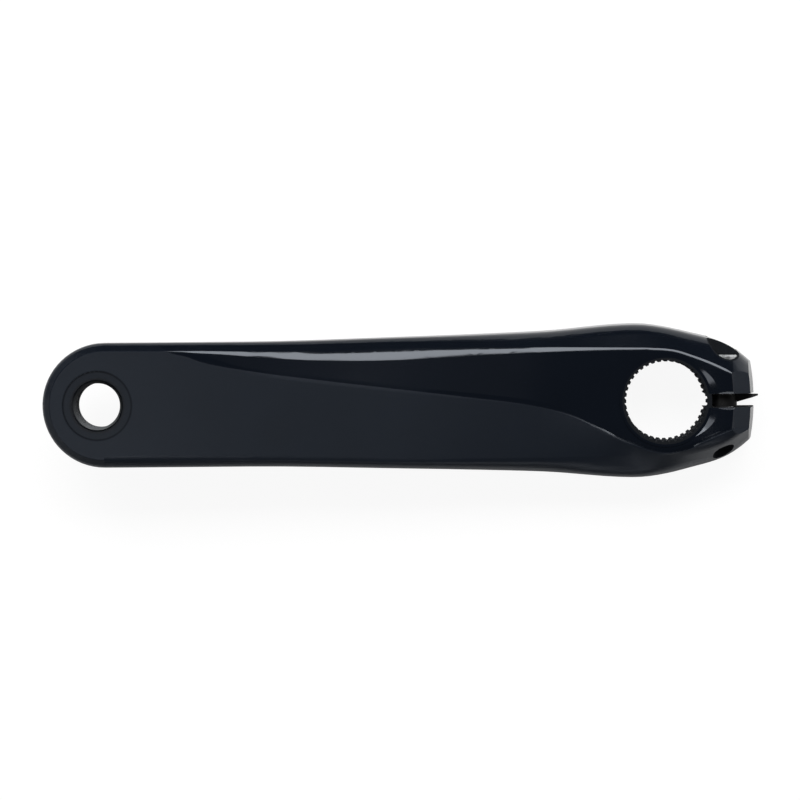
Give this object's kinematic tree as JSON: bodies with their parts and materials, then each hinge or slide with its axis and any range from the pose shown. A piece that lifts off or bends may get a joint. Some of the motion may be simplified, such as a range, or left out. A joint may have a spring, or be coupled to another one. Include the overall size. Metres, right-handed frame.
{
  "type": "bicycle crank arm",
  "caption": "Left bicycle crank arm: creased black forged arm with a splined pinch clamp for the spindle, a threaded pedal hole and a swinging safety stopper in the clamp's slit.",
  "frame": {"origin": "on the spindle axis, at the arm's flat inboard face", "axes": "+Z outboard along the spindle axis, the arm runs from the spindle towards -X, +Y towards the pinch-bolt heads"},
  "size_m": [0.2084, 0.045, 0.0273],
  "materials": {
    "arm_coat": "gloss black on the long facet and the boss, satin black elsewhere",
    "bolt_steel": "bright zinc plate",
    "washer_steel": "plain zinc plate",
    "stopper_plastic": "fine moulded grain",
    "pin_steel": "bright drawn"
  },
  "bodies": {
    "arm": {"crank_arm": "arm_coat", "pinch_bolts": "bolt_steel", "bolt_washers": "washer_steel"},
    "stopper": {"stopper_plate": "stopper_plastic", "stopper_pin": "pin_steel"}
  },
  "joints": [
    {"name": "stopper_latch", "type": "hinge", "parent": "arm", "child": "stopper", "pos_m": [0.01685, 0, 0.0152], "axis": [0, 1, 0], "range_deg": [0, 18]}
  ]
}
